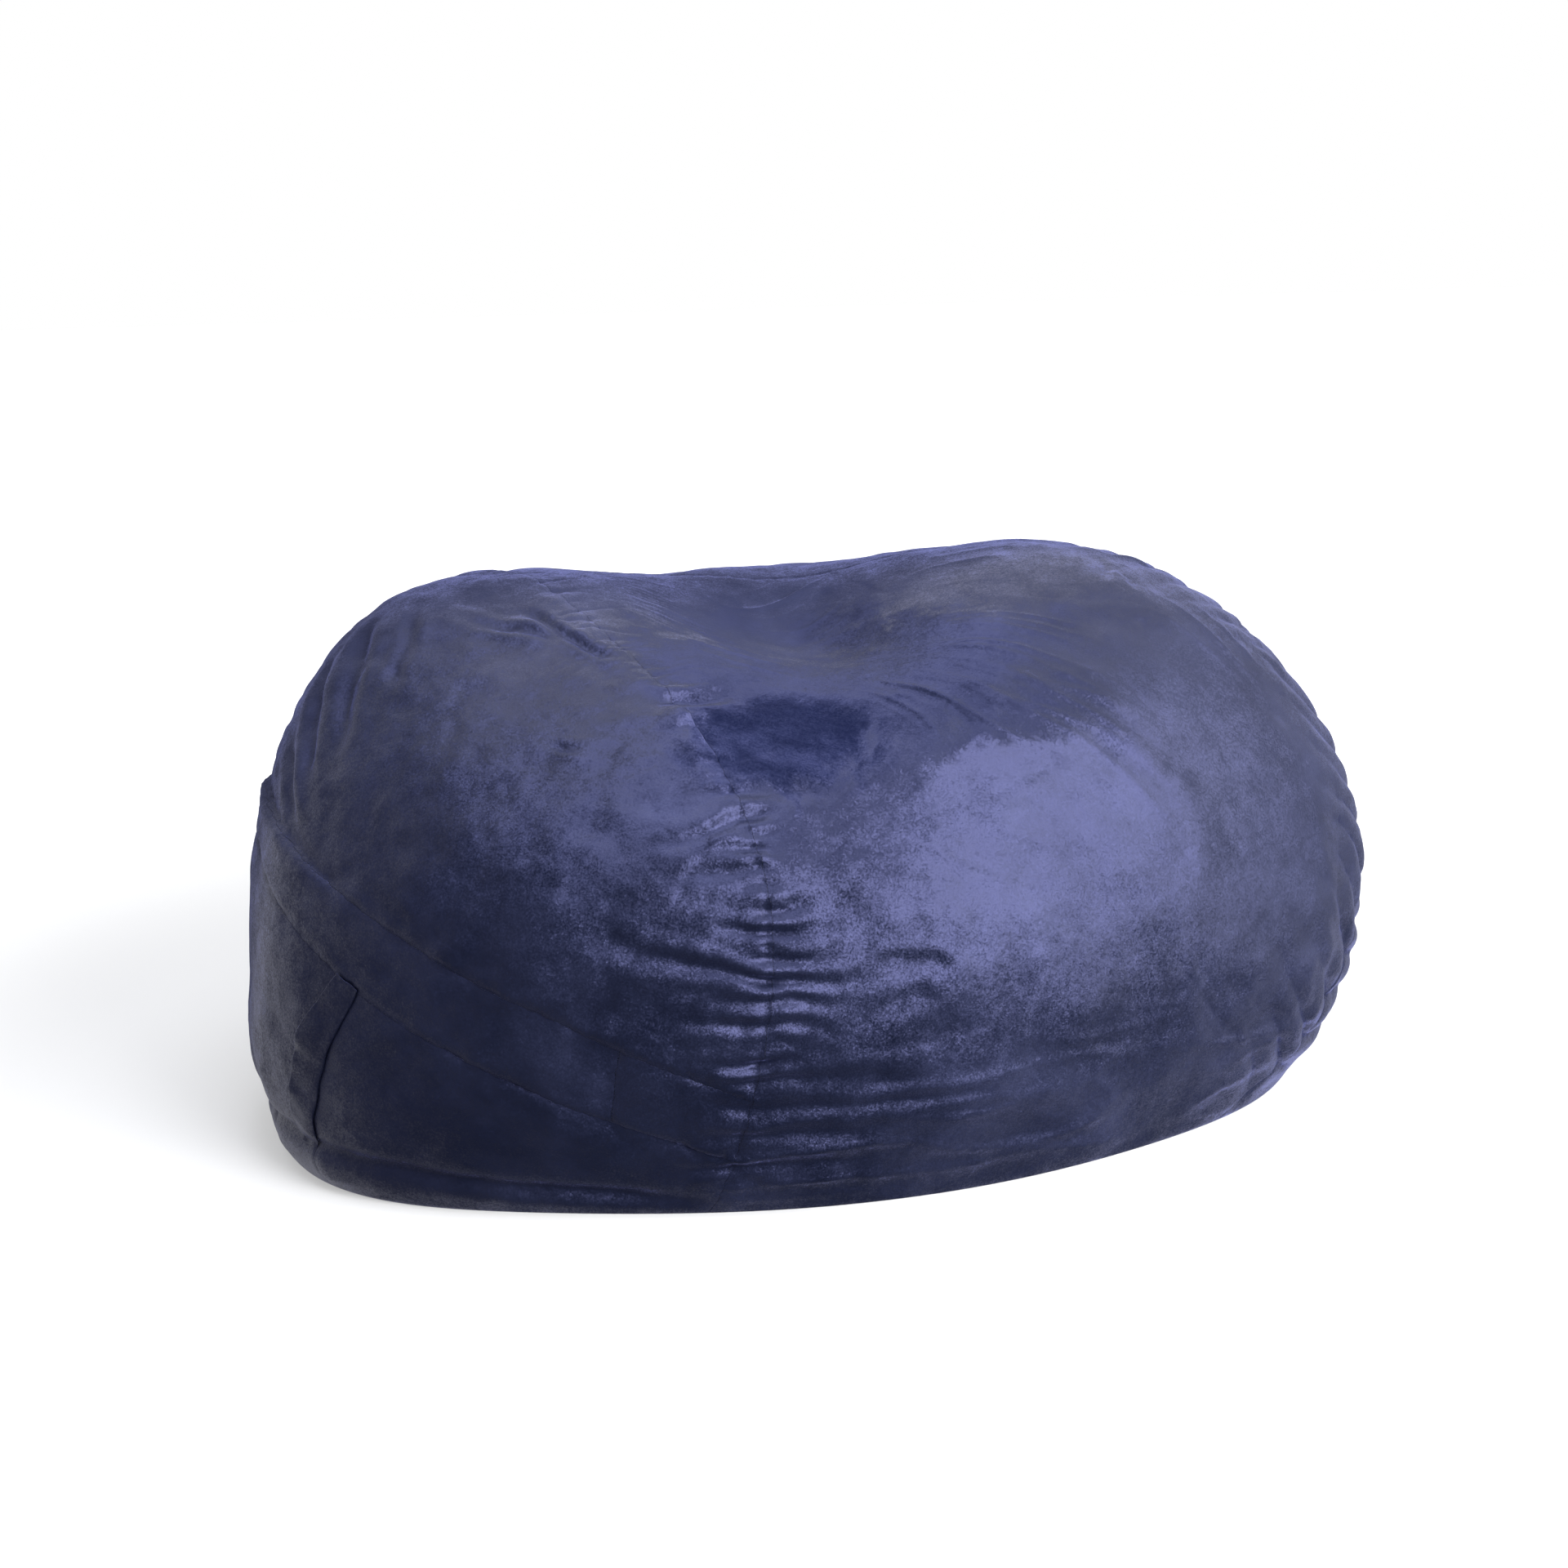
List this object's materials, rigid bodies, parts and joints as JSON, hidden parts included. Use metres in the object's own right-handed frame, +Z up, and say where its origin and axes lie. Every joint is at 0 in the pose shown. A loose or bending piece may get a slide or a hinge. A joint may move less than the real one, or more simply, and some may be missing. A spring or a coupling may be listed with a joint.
{
  "type": "bean bag chair",
  "caption": "Large free-standing bean bag chair: a low velvet bag with a higher shoulder at each end and a shallow seat hollow between them.",
  "frame": {"origin": "on the floor, under the middle of the bag's bounding box", "axes": "+Z up, +X along the bag's longest side, -Y towards the front"},
  "size_m": [1.8803, 1.3, 0.8917],
  "materials": {
    "cover_velvet": "soft short-pile velvet",
    "cover_thread": "matte thread",
    "flap_velvet": "soft short-pile velvet",
    "zip_tape": "woven tape",
    "zip_coil": "satin moulded plastic",
    "zip_metal": "satin",
    "liner_cloth": "plain woven polyester",
    "foam": "shredded open-cell foam"
  },
  "bodies": {
    "bag": {"front_right_panel": "cover_velvet", "front_left_panel": "cover_velvet", "side_band": "cover_velvet", "side_band_end": "cover_velvet", "lower_left_panel": "cover_velvet", "lower_left_corner_panel": "cover_velvet", "back_left_panel": "cover_velvet", "back_right_panel": "cover_velvet", "base_panel": "cover_velvet", "side_flap": "flap_velvet", "front_seam": "cover_thread", "crown_seam": "cover_thread", "back_seam": "cover_thread", "band_upper_seam": "cover_thread", "band_lower_seam": "cover_thread", "band_join_seam": "cover_thread", "flap_seam": "cover_thread", "base_seam": "cover_thread", "liner_front": "liner_cloth", "liner_back": "liner_cloth", "liner_base": "liner_cloth", "liner_seam": "liner_cloth", "shredded_foam_fill": "foam", "cover_zip_tape_left": "zip_tape", "cover_zip_coil_left": "zip_coil", "cover_zip_tape_right": "zip_tape", "cover_zip_coil_right": "zip_coil", "cover_zip_stops": "zip_metal", "liner_zip_tape_left": "zip_tape", "liner_zip_coil_left": "zip_coil", "liner_zip_tape_right": "zip_tape", "liner_zip_coil_right": "zip_coil", "liner_zip_stops": "zip_metal"},
    "cover_zip_slider_body": {"cover_zip_slider": "zip_metal"},
    "liner_zip_slider_body": {"liner_zip_slider": "zip_metal"}
  },
  "joints": [
    {"name": "cover_zip_slide", "type": "slide", "parent": "bag", "child": "cover_zip_slider_body", "axis": [1, 0, 0], "range_m": [-0.876, 0]},
    {"name": "liner_zip_slide", "type": "slide", "parent": "bag", "child": "liner_zip_slider_body", "axis": [1, 0, 0], "range_m": [-0.876, 0]}
  ]
}
